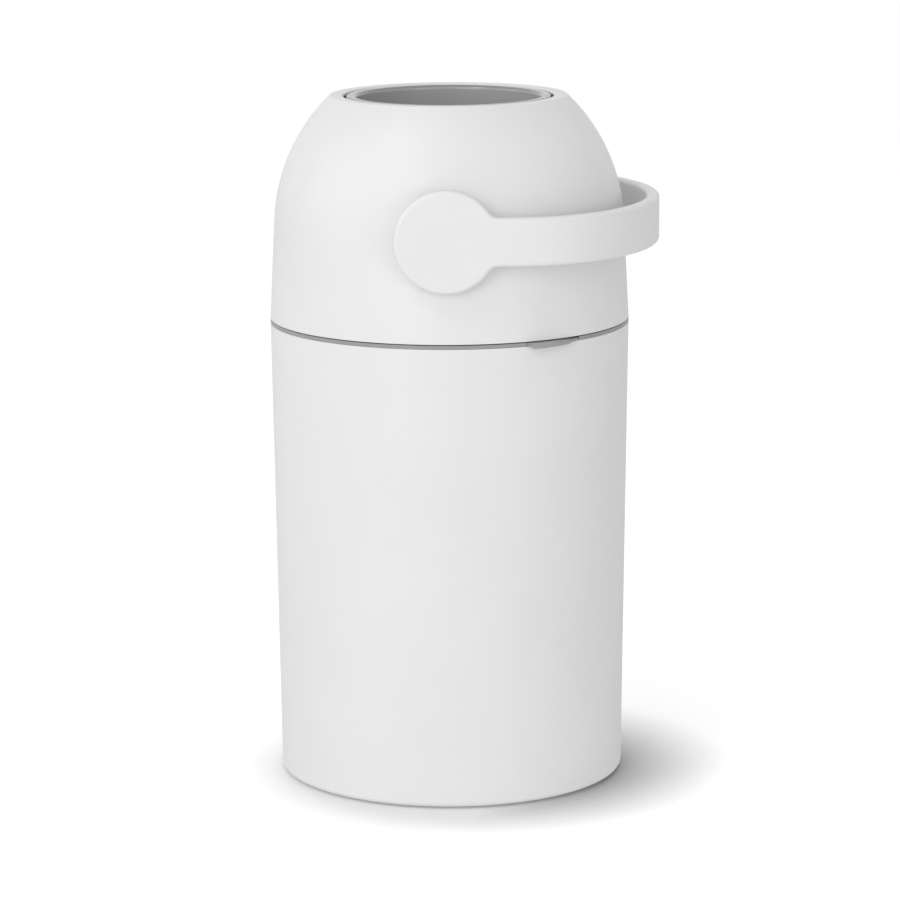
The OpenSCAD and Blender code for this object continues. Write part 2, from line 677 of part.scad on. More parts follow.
// The catch: a hook that hangs from the cradle through the tab's window
module lid_catch() {
    top_z = cradle_top_z;
    nose_z = bin_h - 0.1;
    color(GREY) rotate([0, 0, tab_azimuth]) difference() {
        union() {
            translate([-catch_w / 2, -catch_stem_y - catch_t, top_z]) cube([catch_w, 8 + catch_t, 2]);
            translate([-catch_w / 2, -catch_stem_y - catch_t, nose_z - catch_drop])
                cube([catch_w, catch_t, top_z - nose_z + catch_drop]);
            translate([-catch_w / 2, -catch_stem_y, 0]) rotate([90, 0, 90]) linear_extrude(catch_w)
                polygon([[0, nose_z], [catch_nose, nose_z], [catch_nose, nose_z - 0.8],
                         [0, nose_z - catch_drop]]);
        }
        for (side = [-1, 1])
            translate([side * catch_w / 2.6, -catch_stem_y + 4, top_z - over])
                cylinder(r = guide_screw_r + seat_gap, h = 2 + 2 * over);
    }
}

// The two screws that hold the catch to the cradle
module catch_screws() {
    head_z = cradle_top_z + 2;
    color(STEEL) rotate([0, 0, tab_azimuth]) for (side = [-1, 1])
        translate([side * catch_w / 2.6, -catch_stem_y + 4, 0]) {
            translate([0, 0, head_z]) cylinder(r = 2 * guide_screw_r, h = 1.2);
            translate([0, 0, cradle_z]) cylinder(r = guide_screw_r, h = head_z - cradle_z);
        }
}

// The soft wiper under the dome's top, which the barrel's end brushes past
module top_wiper() {
    z1 = dome_top_z - dome_wall;
    t = 1.8;
    in_r = sqrt(pow(sweep_r + wiper_gap, 2) - pow(z1 - t - pivot_z, 2));
    out_r = dome_round_in_r(z1) - 2;
    color(DARK) rotate_extrude() polygon([
        [in_r - 0.6, z1], [in_r, z1 - t], [out_r, z1 - t], [out_r, z1]]);
}

// The soft wiper in the cradle's bowl, round the drop hole
module bottom_wiper() {
    r0 = sweep_r + wiper_gap;
    r1 = bowl_r - seat_gap / 2;
    a0 = -acos((drop_r - 0.2) / r1);
    a1 = a0 + 5;
    color(DARK) rotate_extrude() polygon(concat(
        arc(0, pivot_z, r0, a0, a1, 6), arc(0, pivot_z, r1, a1, a0, 6)));
}

// A flanged plain bush in the dome's pivot boss
module bush() {
    color(PALE) difference() {
        union() {
            pivot_rod(bush_r, bush_in_y - over, bush_out_y - 0.2);
            pivot_rod(bush_flange_r, bush_in_y - bush_flange_t, bush_in_y - 0.01);
        }
        pivot_rod(shaft_r + run_gap, bush_in_y - bush_flange_t - over, bush_out_y + over);
    }
}
module bush_front() { at_side(false) bush(); }
module bush_back() { at_side(true) bush(); }

// ---- barrel and handle ----

// The barrel: an open tube with a keyed socket on each side for the pivot shafts
module barrel() {
    socket_out_y = shaft_in_y + shaft_seat;
    color(GREY) difference() {
        union() {
            translate([0, 0, pivot_z - tube_half]) cylinder(r = barrel_r, h = 2 * tube_half);
            for (back = [false, true]) at_side(back) pivot_rod(trunnion_r, bore_r - 6, socket_out_y);
            at_side(true) pivot_sector(trunnion_r - 1, trunnion_r + stop_t, socket_out_y - 6 + slide_gap,
                socket_out_y, -stop_lug_angle / 2, stop_lug_angle / 2);
        }
        translate([0, 0, pivot_z - tube_half - over]) cylinder(r = bore_r, h = 2 * (tube_half + over));
        for (back = [false, true]) at_side(back) {
            pivot_rod(shaft_r + seat_gap, socket_floor_y, socket_out_y + over);
            pivot_rod(handle_screw_r + seat_gap, bore_r - 8, socket_floor_y + over);
            pivot_rod(handle_screw_head_r + 0.2, bore_r - 8, head_in_y + handle_screw_head_h);
            shaft_keys(seat_gap, socket_floor_y, socket_out_y + over);
        }
    }
}

// The two keys of a pivot shaft, each made gap larger
module shaft_keys(gap, y0, y1) {
    half_h = shaft_r + key_h + gap;
    translate([-key_w / 2 - gap, -y1, pivot_z - half_h]) cube([key_w + 2 * gap, y1 - y0, 2 * half_h]);
}

// The rim on one end of the barrel. Its step sits in the barrel's bore, and its sleeve
// stops the piston.
module barrel_rim(up) {
    step_h = 5;
    step_r = bore_r - seat_gap / 2;
    end = tube_half - sleeve_h;
    edge = 0.5;
    color(GREY) translate([0, 0, pivot_z]) mirror([0, 0, up ? 0 : 1]) rotate_extrude() polygon(concat(
        arc(rim_in_r + rim_in_round, barrel_half - rim_in_round, rim_in_round, 180, 90, 8),
        arc(barrel_r - rim_out_round, barrel_half - rim_out_round, rim_out_round, 90, 0, 6),
        [[barrel_r, tube_half], [step_r, tube_half], [step_r, tube_half - step_h],
         [rim_in_r + sleeve_t, tube_half - step_h], [rim_in_r + sleeve_t, end],
         [rim_in_r + edge, end], [rim_in_r, end + edge]]));
}
module barrel_rim_upper() { barrel_rim(true); }
module barrel_rim_lower() { barrel_rim(false); }

// A hollow pivot shaft, keyed into the barrel and round the handle's spigot
module pivot_shaft() {
    out_y = disc_in_y - slide_gap;
    color(PALE) difference() {
        union() {
            pivot_rod(shaft_r, shaft_in_y, out_y);
            shaft_keys(0, shaft_in_y, shaft_in_y + shaft_seat - 1);
        }
        pivot_rod(shaft_bore_r + seat_gap, shaft_in_y + shaft_end_t, out_y + over);
        pivot_rod(handle_screw_r + seat_gap, shaft_in_y - over, shaft_in_y + shaft_end_t + over);
        spigot_key(seat_gap, disc_in_y - spigot_l - over, out_y + over);
    }
}
module pivot_shaft_front() { at_side(false) pivot_shaft(); }
module pivot_shaft_back() { at_side(true) pivot_shaft(); }

// The flat key across the handle's spigot, made gap larger
module spigot_key(gap, y0, y1) {
    half_h = shaft_bore_r + key_h + gap;
    translate([-key_w / 2 - gap, -y1, pivot_z - half_h]) cube([key_w + 2 * gap, y1 - y0, 2 * half_h]);
}

// The bail is drawn unrolled and folded into place: u runs along it from the front pivot at
// 0 to the back pivot at bail_l, z runs across it and w outwards from its inner face. Its far
// end is half of an ellipse, where u counts 1 for each degree.
fillet_z = strap_h / 2 + strap_fillet_r;
fillet_u = sqrt(pow(disc_r + strap_fillet_r, 2) - pow(fillet_z, 2));
touch_angle = atan2(fillet_z, fillet_u);
bend_u = fillet_u + handle_flat;
bend_run = dome_r(pivot_z - strap_h / 2) + handle_room - bend_u;
bail_l = 2 * bend_u + 180;

// Upper edge of the bail's front end, drawn inset: round the disc, then along the hollow
function end_edge(inset) = concat(
    arc(0, 0, disc_r - inset, 180, touch_angle, 14),
    arc(fillet_u, fillet_z, strap_fillet_r + inset, 180 + touch_angle, 270, 5));

// Upper edge of the whole bail, from the front disc to the back one
function bail_edge(inset) =
    let (end = end_edge(inset), steps = 36) concat(
        end,
        [for (i = [0 : steps]) [bend_u + 180 * i / steps, strap_h / 2 - inset]],
        [for (i = [len(end) - 1 : -1 : 0]) [bail_l - end[i][0], end[i][1]]]);

// Folds one point of the unrolled bail into place
function fold(u, z, w) =
    let (a = min(max(u - bend_u, 0), 180),
         out = [disc_in_y * sin(a), -bend_run * cos(a)],
         side = w * out / norm(out))
    [min(u, bend_u) + bend_run * sin(a) + side[0] - max(u - bend_u - 180, 0),
     -disc_in_y * cos(a) + side[1], z];

// The bail's skin: loops of its outline, inset towards both faces to round the edges
module bail() {
    round_steps = 3;
    inner_round = [for (i = [0 : round_steps]) let (a = 90 * i / round_steps)
        [handle_edge_r * (1 - sin(a)), handle_edge_r * (1 - cos(a))]];
    outer_round = [for (i = [round_steps : -1 : 0])
        [inner_round[i][0], handle_t - inner_round[i][1]]];
    layers = concat(inner_round, outer_round);
    m = len(bail_edge(0));
    n = 2 * m - 2;
    points = [for (layer = layers) let (upper = bail_edge(layer[0]))
        for (i = [0 : n - 1]) let (p = i < m ? upper[i] : upper[n - i], flip = i < m ? 1 : -1)
            fold(p[0], flip * p[1], layer[1])];
    walls = [for (k = [0 : len(layers) - 2]) for (i = [0 : n - 1])
        let (a = k * n + i, b = k * n + (i + 1) % n) each [[a, b, b + n], [a, b + n, a + n]]];
    last = (len(layers) - 1) * n;
    outer_face = [for (i = [0 : m - 2]) let (lo = (n - i) % n, lo_next = n - i - 1)
        each concat(i < m - 2 ? [[last + i, last + i + 1, last + lo_next]] : [],
                    i > 0 ? [[last + i, last + lo_next, last + lo]] : [])];
    inner_face = [for (f = outer_face) [f[0] - last, f[2] - last, f[1] - last]];
    translate([0, 0, pivot_z])
        polyhedron(points = points, faces = concat(walls, outer_face, inner_face));
}

// The handle: a smooth bail with a round end each side and a keyed spigot behind each
module handle() {
    color(WHITE) difference() {
        union() {
            bail();
            for (back = [false, true]) at_side(back) {
                pivot_rod(shaft_bore_r, disc_in_y - spigot_l, disc_in_y + 1);
                spigot_key(0, disc_in_y - spigot_l, disc_in_y + 1);
            }
        }
        for (back = [false, true]) at_side(back)
            pivot_rod(handle_screw_r, disc_in_y - spigot_l - over,
                disc_in_y - spigot_l + handle_screw_grip + over);
    }
}

// The long screws that hold barrel, shaft and handle together, one each side
module handle_screws() {
    color(STEEL) for (back = [false, true]) at_side(back) {
        pivot_rod(handle_screw_head_r, head_in_y, head_in_y + handle_screw_head_h - 0.1);
        pivot_rod(handle_screw_r - seat_gap / 2, head_in_y + 0.1,
            disc_in_y - spigot_l + handle_screw_grip);
    }
}

// ---- piston ----

// The piston: a hollow puck with a groove near each face for a lip seal
module piston_body() {
    groove_r = piston_r - seal_depth;
    hollow_r = groove_r - piston_wall;
    z1 = piston_h;
    edge = 1.5;
    color(WHITE) translate([0, 0, piston_low]) rotate_extrude() polygon(concat(
        [[0, z1]],
        arc(piston_r - edge, z1 - edge, edge, 90, 0, 5),
        [[piston_r, z1 - groove_at], [groove_r, z1 - groove_at], [groove_r, z1 - groove_at - seal_h],
         [piston_r, z1 - groove_at - seal_h], [piston_r, groove_at + seal_h],
         [groove_r, groove_at + seal_h], [groove_r, groove_at], [piston_r, groove_at]],
        arc(piston_r - edge, edge, edge, 0, -90, 5),
        [[hollow_r + 1.6, 0], [hollow_r + 1.6, piston_wall], [hollow_r, piston_wall],
         [hollow_r, z1 - piston_wall], [0, z1 - piston_wall]]));
}

// The flat cap that closes the piston from below
module piston_cap() {
    cap_r = piston_r - seal_depth - piston_wall + 1.6 - seat_gap;
    color(WHITE) translate([0, 0, piston_low]) rotate_extrude() polygon([
        [0, 0], [cap_r - 0.5, 0], [cap_r, 0.5], [cap_r, piston_wall - seat_gap],
        [0, piston_wall - seat_gap]]);
}

// A rubber lip seal in one of the piston's grooves
module piston_seal(z) {
    groove_r = piston_r - seal_depth;
    lip_r = bore_r - slide_gap;
    color(DARK) translate([0, 0, z]) rotate_extrude() polygon([
        [groove_r + seat_gap, seat_gap], [piston_r - 0.6, seat_gap], [lip_r, seal_h / 2 - 0.5],
        [lip_r, seal_h / 2 + 0.5], [piston_r - 0.6, seal_h - seat_gap],
        [groove_r + seat_gap, seal_h - seat_gap]]);
}
module piston_seal_upper() { piston_seal(piston_low + piston_h - groove_at - seal_h); }
module piston_seal_lower() { piston_seal(piston_low + groove_at); }

base_bin();
foot_ring();
collar_ring();
bag_ring();
latch_guide();
guide_screws();
hinge_pin();
release_spring();
release_tab();
dome_cover();
cradle();
cradle_screws();
lid_gasket();
lid_catch();
catch_screws();
top_wiper();
bottom_wiper();
bush_front();
bush_back();
barrel();
barrel_rim_upper();
barrel_rim_lower();
pivot_shaft_front();
pivot_shaft_back();
handle();
handle_screws();
piston_body();
piston_cap();
piston_seal_upper();
piston_seal_lower();
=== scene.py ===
import math

import bmesh
import bpy
from mathutils import Matrix, Vector


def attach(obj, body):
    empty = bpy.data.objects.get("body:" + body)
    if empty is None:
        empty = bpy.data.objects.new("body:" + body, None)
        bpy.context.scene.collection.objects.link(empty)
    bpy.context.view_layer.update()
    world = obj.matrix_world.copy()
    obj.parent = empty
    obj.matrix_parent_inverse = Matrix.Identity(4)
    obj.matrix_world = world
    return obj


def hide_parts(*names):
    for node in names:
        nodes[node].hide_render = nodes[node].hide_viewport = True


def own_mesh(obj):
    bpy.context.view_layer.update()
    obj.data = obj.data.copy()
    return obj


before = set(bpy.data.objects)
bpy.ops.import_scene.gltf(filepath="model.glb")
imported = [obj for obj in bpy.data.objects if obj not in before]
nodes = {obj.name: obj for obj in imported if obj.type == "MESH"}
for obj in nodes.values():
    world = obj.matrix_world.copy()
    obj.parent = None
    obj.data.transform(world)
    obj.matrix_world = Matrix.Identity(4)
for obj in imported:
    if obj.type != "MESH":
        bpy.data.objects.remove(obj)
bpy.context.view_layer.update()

# ---------------------------------------------------------------- bin
# The lower bucket is one injection moulding in white polypropylene, slightly flared towards
# the rim. Its skin has a fine spark-eroded grain from the tool, which takes the edge off
# its gloss, and a very slight drift in tone where the melt flowed.

BIN_WHITE = (0.766, 0.766, 0.766)
BIN_WHITE_DEEP = (0.750, 0.750, 0.750)
FLOW_SCALE = 11  # drifts in tone, about 9 cm across
RUB_SCALE = 65  # duller and glossier patches, about 15 mm across
PLASTIC_IOR = 1.49


def moulded(name, tone, deep_tone, roughness, grain_mm, grain_depth_mm, rough_drift=0.05):
    """A moulded plastic: two close tones that drift, and a fine grain in the surface."""
    finish = bpy.data.materials.new(name)
    finish.use_nodes = True
    tree = finish.node_tree
    skin = tree.nodes["Principled BSDF"]
    place = tree.nodes.new("ShaderNodeTexCoord")

    flow = tree.nodes.new("ShaderNodeTexNoise")
    flow.inputs["Scale"].default_value = FLOW_SCALE
    flow.inputs["Detail"].default_value = 3
    tree.links.new(place.outputs["Object"], flow.inputs["Vector"])
    tones = tree.nodes.new("ShaderNodeValToRGB")
    tones.color_ramp.elements[0].position = 0.36
    tones.color_ramp.elements[0].color = (*deep_tone, 1)
    tones.color_ramp.elements[1].position = 0.66
    tones.color_ramp.elements[1].color = (*tone, 1)
    tree.links.new(flow.outputs["Fac"], tones.inputs["Fac"])
    tree.links.new(tones.outputs["Color"], skin.inputs["Base Color"])

    rub = tree.nodes.new("ShaderNodeTexNoise")
    rub.inputs["Scale"].default_value = RUB_SCALE
    rub.inputs["Detail"].default_value = 4
    tree.links.new(place.outputs["Object"], rub.inputs["Vector"])
    dulling = tree.nodes.new("ShaderNodeMapRange")
    dulling.inputs["From Min"].default_value = 0.3
    dulling.inputs["From Max"].default_value = 0.7
    dulling.inputs["To Min"].default_value = roughness - rough_drift
    dulling.inputs["To Max"].default_value = roughness + rough_drift
    tree.links.new(rub.outputs["Fac"], dulling.inputs["Value"])
    tree.links.new(dulling.outputs["Result"], skin.inputs["Roughness"])

    grain = tree.nodes.new("ShaderNodeTexNoise")
    grain.inputs["Scale"].default_value = 1000 / grain_mm
    grain.inputs["Detail"].default_value = 2
    tree.links.new(place.outputs["Object"], grain.inputs["Vector"])
    relief = tree.nodes.new("ShaderNodeBump")
    relief.inputs["Strength"].default_value = 1
    relief.inputs["Distance"].default_value = grain_depth_mm / 1000
    tree.links.new(grain.outputs["Fac"], relief.inputs["Height"])
    tree.links.new(relief.outputs["Normal"], skin.inputs["Normal"])
    skin.inputs["IOR"].default_value = PLASTIC_IOR
    return finish


def finish_node(name, finish):
    """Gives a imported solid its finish."""
    nodes[name].data.materials.clear()
    nodes[name].data.materials.append(finish)


white_plastic = moulded("white_plastic", BIN_WHITE, BIN_WHITE_DEEP,
                        roughness=0.42, grain_mm=0.8, grain_depth_mm=0.012)
finish_node("base_bin", white_plastic)

# ---------------------------------------------------------------- foot ring
# A ring of black thermoplastic rubber, pressed into the groove under the bin so that the
# bin stands 1.5 mm off the floor and doesn't slide.

RUBBER_BLACK = (0.030, 0.030, 0.032)
RUBBER_WORN = (0.055, 0.055, 0.057)
rubber = moulded("rubber", RUBBER_BLACK, RUBBER_WORN,
                 roughness=0.72, grain_mm=0.5, grain_depth_mm=0.03,
                 rough_drift=0.08)
finish_node("foot_ring", rubber)

# ---------------------------------------------------------------- collar ring
# The grey ring between bin and dome, moulded in the same plastic in mid grey, a little
# glossier than the white shells. It clips into the bin, and its edge shows as a thin band.

TRIM_GREY = (0.312, 0.312, 0.314)
TRIM_GREY_DEEP = (0.296, 0.296, 0.298)
grey_plastic = moulded("grey_plastic", TRIM_GREY, TRIM_GREY_DEEP,
                       roughness=0.36, grain_mm=0.6, grain_depth_mm=0.008)
finish_node("collar_ring", grey_plastic)

# ---------------------------------------------------------------- latch guide and its screws
# A grey block under the collar's band, in which the release tab slides, held up by two
# small countersunk zinc-plated screws with a cross recess.

finish_node("latch_guide", grey_plastic)

ZINC = (0.60, 0.60, 0.62)
ZINC_DULL = (0.46, 0.46, 0.48)


def plated_steel(name, bright, dull, turned=420):
    """Zinc-plated steel: cloudy plating over fine tool marks."""
    finish = moulded(name, bright, dull, roughness=0.30, grain_mm=0.25,
                     grain_depth_mm=0.004, rough_drift=0.09)
    skin = finish.node_tree.nodes["Principled BSDF"]
    skin.inputs["Metallic"].default_value = 1
    marks = finish.node_tree.nodes.new("ShaderNodeTexWave")
    marks.wave_type = "RINGS"
    marks.rings_direction = "SPHERICAL"
    marks.inputs["Scale"].default_value = turned
    marks.inputs["Distortion"].default_value = 1.5
    place = finish.node_tree.nodes["Texture Coordinate"]
    finish.node_tree.links.new(place.outputs["Object"], marks.inputs["Vector"])
    relief = finish.node_tree.nodes.new("ShaderNodeBump")
    relief.inputs["Strength"].default_value = 0.25
    relief.inputs["Distance"].default_value = 0.00001
    finish.node_tree.links.new(marks.outputs["Fac"], relief.inputs["Height"])
    finish.node_tree.links.new(finish.node_tree.nodes["Bump"].outputs["Normal"],
                               relief.inputs["Normal"])
    finish.node_tree.links.new(relief.outputs["Normal"], skin.inputs["Normal"])
    return finish


zinc_steel = plated_steel("zinc_steel", ZINC, ZINC_DULL)


def solid(name, points, faces, finish, body, outs=None, sharp=40):
    """A closed smooth piece that rides on a body; outs are the exact ways out at its points."""
    mesh = bpy.data.meshes.new(name)
    mesh.from_pydata([tuple(p) for p in points], [], faces)
    shape = bmesh.new()
    shape.from_mesh(mesh)
    bmesh.ops.recalc_face_normals(shape, faces=shape.faces)
    for face in shape.faces:
        face.smooth = True
    for edge in shape.edges:
        edge.smooth = edge.calc_face_angle(0) < math.radians(sharp)
    shape.to_mesh(mesh)
    shape.free()
    if outs:
        mesh.normals_split_custom_set_from_vertices([tuple(o) for o in outs])
    mesh.materials.append(finish)
    made = bpy.data.objects.new(name, mesh)
    bpy.context.scene.collection.objects.link(made)
    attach(made, body)
    return made


def cross_screw(name, tip, head, shank_r, head_r, head_h, thread, body, round_head=False):
    """A screw from its tip to the face of its head, with a cross recess and a thread.

    Its head is countersunk or round and head_h high, and its thread runs up from the tip."""
    tip, head = Vector(tip), Vector(head)
    axis = (head - tip).normalized()
    side = axis.orthogonal().normalized()
    other = axis.cross(side)
    length = (head - tip).length
    n = 24  # points round each loop
    pitch = shank_r * 0.8
    steps = int(thread / pitch * 6)
    core, ridge = 0.84, 0.14  # of the shank: the thread's core and its height
    arm_half = 0.3  # half the angle that an arm of the recess takes, in radians
    points = []

    def loop(z, radius):
        for k in range(n):
            a = 2 * math.pi * k / n
            points.append(tip + z * axis + radius(a) * (math.cos(a) * side + math.sin(a) * other))

    def winding(z):
        taper = min(1, 0.4 + z / (3 * shank_r))

        def radius(a):
            rise = abs(1 - 2 * ((z / pitch - a / 2 / math.pi) % 1))
            return taper * shank_r * (core + ridge * rise)
        return radius

    def cross(long, short):
        def radius(a):
            off_arm = abs((a + math.pi / 4) % (math.pi / 2) - math.pi / 4)
            return long if off_arm < arm_half else short
        return radius

    loop(0, lambda a: shank_r * 0.2)
    for i in range(steps + 1):
        loop(0.1 * pitch + thread * i / steps, winding(thread * i / steps))
    loop(thread + 0.6 * pitch, lambda a: shank_r * 0.98)
    loop(length - head_h, lambda a: shank_r * 0.98)
    if round_head:
        loop(length - head_h, lambda a: head_r)
        for i in range(1, 5):
            b = math.pi / 2 * i / 5
            loop(length - head_h * (1 - math.sin(b)), lambda a: head_r * (0.5 + 0.5 * math.cos(b)))
    else:
        loop(length - head_h * 0.1, lambda a: head_r * 0.98)
    loop(length, lambda a: head_r * (0.55 if round_head else 0.95))
    loop(length, cross(0.48 * head_r, 0.15 * head_r))
    loop(length - 0.45 * head_r, cross(0.3 * head_r, 0.1 * head_r))
    rows = len(points) // n
    faces = [(k * n + i, k * n + (i + 1) % n, (k + 1) * n + (i + 1) % n, (k + 1) * n + i)
             for k in range(rows - 1) for i in range(n)]
    faces += [tuple(range(n)), tuple(range((rows - 1) * n, rows * n))]
    return solid(name, points, faces, zinc_steel, body, sharp=35)


TAB_TURN = math.radians(35.5)
TAB_SIDE = Vector((math.cos(TAB_TURN), math.sin(TAB_TURN), 0))
TAB_OUT = Vector((math.sin(TAB_TURN), -math.cos(TAB_TURN), 0))


def by_tab(x, y, z):
    """A place measured from the middle of the bin: x along the tab's edge, y out to the tab."""
    return x * TAB_SIDE + y * TAB_OUT + Vector((0, 0, z))


GUIDE_SCREW_X = 0.0284
GUIDE_SCREW_Y = 0.126207
GUIDE_SCREW_TIP_Z = 0.355
GUIDE_SCREW_FACE_Z = 0.363

for side in (-1, 1):
    screw = cross_screw("guide_screw_" + ("left" if side < 0 else "right"),
                        by_tab(side * GUIDE_SCREW_X, GUIDE_SCREW_Y, GUIDE_SCREW_TIP_Z),
                        by_tab(side * GUIDE_SCREW_X, GUIDE_SCREW_Y, GUIDE_SCREW_FACE_Z),
                        shank_r=0.0012, head_r=0.0024, head_h=0.00132, thread=0.0055,
                        body="base")
    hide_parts("guide_screws")

# ---------------------------------------------------------------- hinge pin
# A plain steel rod, zinc-plated like the screws, that the dome's knuckle turns on. It is
# pushed through the collar's two knuckles.

finish_node("hinge_pin", zinc_steel)

# ---------------------------------------------------------------- release tab and springs
# The grey finger lip that frees the lid, and the two small coil springs of drawn steel
# wire that push it out again.

# painted light: the tab takes a lighter copy of the collar's grey, standing in for light from
# above on its top
TAB_GREY = (0.345, 0.345, 0.347)
TAB_GREY_DEEP = (0.330, 0.330, 0.332)
tab_lit_plastic = moulded("tab_lit_plastic", TAB_GREY, TAB_GREY_DEEP,
                      roughness=0.30, grain_mm=0.6, grain_depth_mm=0.006)
finish_node("release_tab", tab_lit_plastic)

WIRE_R = 0.00035
COIL_R = 0.00165  # to the middle of the wire
COILS = 4
SPRING_L = 0.00687
SPRING_SEAT = 0.1243  # out from the middle of the bin
SPRING_X = 0.018  # to either side of the middle of the tab
SPRING_Z = 0.3579


def spring(name, x):
    """A coil spring with closed end coils, from its seat out to the tab's lug."""
    sides, per_turn = 10, 40
    rows = COILS * per_turn
    ease = 0.5 * per_turn  # half a turn at each end lies almost flat
    rises = [0.3 if min(i, rows - i) < ease else 1.0 for i in range(rows)]
    rise = (SPRING_L - 2 * WIRE_R) / sum(rises)
    points, y = [], SPRING_SEAT + WIRE_R
    for i in range(rows + 1):
        a = 2 * math.pi * i / per_turn
        for k in range(sides):
            b = 2 * math.pi * k / sides
            r = COIL_R + WIRE_R * math.cos(b)
            points.append(by_tab(x + r * math.cos(a), y + WIRE_R * math.sin(b),
                                 SPRING_Z + r * math.sin(a)))
        if i < rows:
            y += rise * rises[i]
    faces = [(i * sides + k, i * sides + (k + 1) % sides, (i + 1) * sides + (k + 1) % sides,
              (i + 1) * sides + k) for i in range(rows) for k in range(sides)]
    faces += [tuple(range(sides)), tuple(range(rows * sides, (rows + 1) * sides))]
    return solid(name, points, faces, zinc_steel, "base")


for side in (-1, 1):
    coil = spring("spring_" + ("left" if side < 0 else "right"), side * SPRING_X)
    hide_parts("release_spring")
    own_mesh(coil)

# ---------------------------------------------------------------- bag ring
# The loose ring that the bag's mouth is folded over, moulded in white plastic. It lies on
# the collar's ledge and lifts out by hand.

INNER_WHITE = (0.70, 0.70, 0.705)
INNER_WHITE_DEEP = (0.68, 0.68, 0.685)
inner_plastic = moulded("inner_plastic", INNER_WHITE, INNER_WHITE_DEEP,
                        roughness=0.38, grain_mm=0.7, grain_depth_mm=0.010)
finish_node("bag_ring", inner_plastic)

# ---------------------------------------------------------------- dome
# The lid's white shell, moulded in one with its pivot bosses and hinge arm, in the same
# grained white plastic as the bin.

finish_node("dome_cover", white_plastic)

# ---------------------------------------------------------------- cradle
# The grey plate with a bowl that closes the dome from below, moulded in the collar's plastic,
# and the six zinc-plated screws that hold it to the dome's bosses.

finish_node("cradle", grey_plastic)

CRADLE_SCREWS = 6
CRADLE_SCREW_R = 0.13362
CRADLE_SCREW_FIRST = -24.5  # degrees round the bin
CRADLE_SCREW_TIP_Z = 0.379
CRADLE_SCREW_FACE_Z = 0.365

for i in range(CRADLE_SCREWS):
    a = math.radians(CRADLE_SCREW_FIRST + 360 / CRADLE_SCREWS * i)
    spot = Vector((CRADLE_SCREW_R * math.cos(a), CRADLE_SCREW_R * math.sin(a), 0))
    screw = cross_screw(f"cradle_screw_{i + 1}", spot + Vector((0, 0, CRADLE_SCREW_TIP_Z)),
                        spot + Vector((0, 0, CRADLE_SCREW_FACE_Z)),
                        shank_r=0.00175, head_r=0.0035, head_h=0.001925, thread=0.010,
                        body="lid")
    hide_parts("cradle_screws")

# ---------------------------------------------------------------- gasket, catch and wipers
# A soft rubber gasket under the cradle seals the lid, a grey hook holds it shut, and soft
# wipers close the gap round the turning barrel at top and bottom.

finish_node("lid_gasket", rubber)
finish_node("lid_catch", grey_plastic)

CATCH_SCREW_X = 0.006923
CATCH_SCREW_Y = 0.1261
CATCH_SCREW_TIP_Z = 0.3649
CATCH_SCREW_FACE_Z = 0.3706

for side in (-1, 1):
    screw = cross_screw("catch_screw_" + ("left" if side < 0 else "right"),
                        by_tab(side * CATCH_SCREW_X, CATCH_SCREW_Y, CATCH_SCREW_TIP_Z),
                        by_tab(side * CATCH_SCREW_X, CATCH_SCREW_Y, CATCH_SCREW_FACE_Z),
                        shank_r=0.0012, head_r=0.0024, head_h=0.0012, thread=0.0032,
                        body="lid", round_head=True)
    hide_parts("catch_screws")

WIPER_GREY = (0.20, 0.20, 0.203)
WIPER_GREY_DUSTY = (0.24, 0.24, 0.243)
wiper_rubber = moulded("wiper_rubber", WIPER_GREY, WIPER_GREY_DUSTY,
                       roughness=0.6, grain_mm=0.5, grain_depth_mm=0.02,
                       rough_drift=0.08)
finish_node("top_wiper", wiper_rubber)
finish_node("bottom_wiper", wiper_rubber)

# ---------------------------------------------------------------- pivots
# Pale acetal bushes in the dome's bosses, and the hollow shafts of the same plastic that
# turn in them. The shafts are keyed and join the handle to the barrel.

PALE = (0.50, 0.50, 0.505)
PALE_DEEP = (0.48, 0.48, 0.485)
pale_plastic = moulded("pale_plastic", PALE, PALE_DEEP,
                       roughness=0.30, grain_mm=0.5, grain_depth_mm=0.005)
for piece in ("bush_front", "bush_back", "pivot_shaft_front", "pivot_shaft_back"):
    finish_node(piece, pale_plastic)

# ---------------------------------------------------------------- barrel
# The open grey tube that turns over inside the dome, smooth inside so that nappies slide, with
# a rim welded on at each end. The barrel is one grey plastic painted in two tones: the tube and
# each rim's sleeve take a lighter grey, painted light inside the barrel, and each rim's lip,
# which closes the gap to the dome, a darker one, painted shade.

# painted light: this lighter grey of the tube and the rims' sleeves stands in for light inside the
# barrel
BARREL_GREY = (0.41, 0.41, 0.412)
BARREL_GREY_DEEP = (0.395, 0.395, 0.397)
barrel_plastic = moulded("barrel_plastic", BARREL_GREY, BARREL_GREY_DEEP,
                         roughness=0.26, grain_mm=0.5, grain_depth_mm=0.004)
finish_node("barrel", barrel_plastic)

# painted shade: beyond LIP_START from the pivot the rims take this darker copy of the barrel's
# grey
LIP_GREY = (0.24, 0.24, 0.243)
LIP_START = 0.0930  # height above and below the pivot at which the darker lips begin
LIP_BLEND = 0.0004
PIVOT_Z = 0.4423
rim_plastic = moulded("rim_plastic", BARREL_GREY, BARREL_GREY_DEEP,
                      roughness=0.19, grain_mm=0.5, grain_depth_mm=0.003,
                      rough_drift=0.03)
tree = rim_plastic.node_tree
heights = tree.nodes.new("ShaderNodeSeparateXYZ")
tree.links.new(tree.nodes["Texture Coordinate"].outputs["Object"], heights.inputs[0])
from_pivot = tree.nodes.new("ShaderNodeMath")
from_pivot.operation = "SUBTRACT"
from_pivot.inputs[1].default_value = PIVOT_Z
tree.links.new(heights.outputs[2], from_pivot.inputs[0])
apart = tree.nodes.new("ShaderNodeMath")
apart.operation = "ABSOLUTE"
tree.links.new(from_pivot.outputs[0], apart.inputs[0])
lip = tree.nodes.new("ShaderNodeMapRange")
